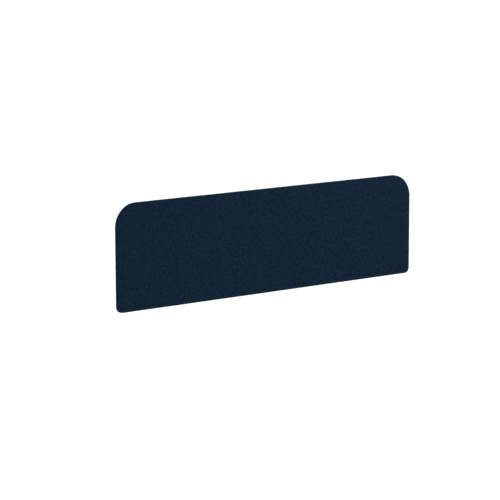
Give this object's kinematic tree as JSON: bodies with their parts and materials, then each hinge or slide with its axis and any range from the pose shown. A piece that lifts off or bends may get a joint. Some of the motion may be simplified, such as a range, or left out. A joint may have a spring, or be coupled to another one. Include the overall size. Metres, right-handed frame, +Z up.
{
  "type": "desk privacy panel",
  "caption": "Wide felt-covered desk divider with large rounded top corners, held behind by screw clamps that grip the edge of a desk.",
  "frame": {"origin": "middle of the panel's width, where the desk's top surface meets the plane of its rear edge", "axes": "+X to the right along the desk's edge, +Y from the panel over the desk, +Z up; the panel's front faces -Y"},
  "size_m": [1.4, 0.081, 0.4],
  "materials": {
    "navy_felt": "pressed, heathered",
    "core_fibreboard": "raw",
    "powder_coated_steel": "fine-textured powder coat",
    "zinc_plated_steel": "bright zinc",
    "black_rubber": "matt",
    "black_plastic": "fine spark-eroded"
  },
  "bodies": {
    "panel": {"front_felt": "navy_felt", "core_board": "core_fibreboard", "back_felt": "navy_felt", "back_plate_left": "powder_coated_steel", "lower_jaw_left": "powder_coated_steel", "jaw_rivets_left": "zinc_plated_steel", "weld_nut_left": "zinc_plated_steel", "jaw_pad_left": "black_rubber", "fixing_screws_left": "zinc_plated_steel", "tee_nuts_left": "zinc_plated_steel", "back_plate_right": "powder_coated_steel", "lower_jaw_right": "powder_coated_steel", "jaw_rivets_right": "zinc_plated_steel", "weld_nut_right": "zinc_plated_steel", "jaw_pad_right": "black_rubber", "fixing_screws_right": "zinc_plated_steel", "tee_nuts_right": "zinc_plated_steel"},
    "foot_left": {"pressure_foot_left": "zinc_plated_steel", "foot_pad_left": "black_rubber"},
    "screw_left": {"clamp_screw_left": "zinc_plated_steel", "clamp_knob_left": "black_plastic"},
    "foot_right": {"pressure_foot_right": "zinc_plated_steel", "foot_pad_right": "black_rubber"},
    "screw_right": {"clamp_screw_right": "zinc_plated_steel", "clamp_knob_right": "black_plastic"}
  },
  "joints": [
    {"name": "foot_travel_left", "type": "slide", "parent": "panel", "child": "foot_left", "axis": [0, 0, 1], "range_m": [-0.0151, 0.0101]},
    {"name": "screw_turn_left", "type": "hinge", "parent": "foot_left", "child": "screw_left", "pos_m": [-0.45, 0.032, -0.06], "axis": [0, 0, 1], "range_deg": [-4350, 2910]},
    {"name": "foot_travel_right", "type": "slide", "parent": "panel", "child": "foot_right", "axis": [0, 0, 1], "range_m": [-0.0151, 0.0101]},
    {"name": "screw_turn_right", "type": "hinge", "parent": "foot_right", "child": "screw_right", "pos_m": [0.45, 0.032, -0.06], "axis": [0, 0, 1], "range_deg": [-4350, 2910]}
  ],
  "couplings": [
    {"joint": "screw_turn_left", "follows": "foot_travel_left", "rad_per_m": 5026.5},
    {"joint": "screw_turn_right", "follows": "foot_travel_right", "rad_per_m": 5026.5}
  ]
}
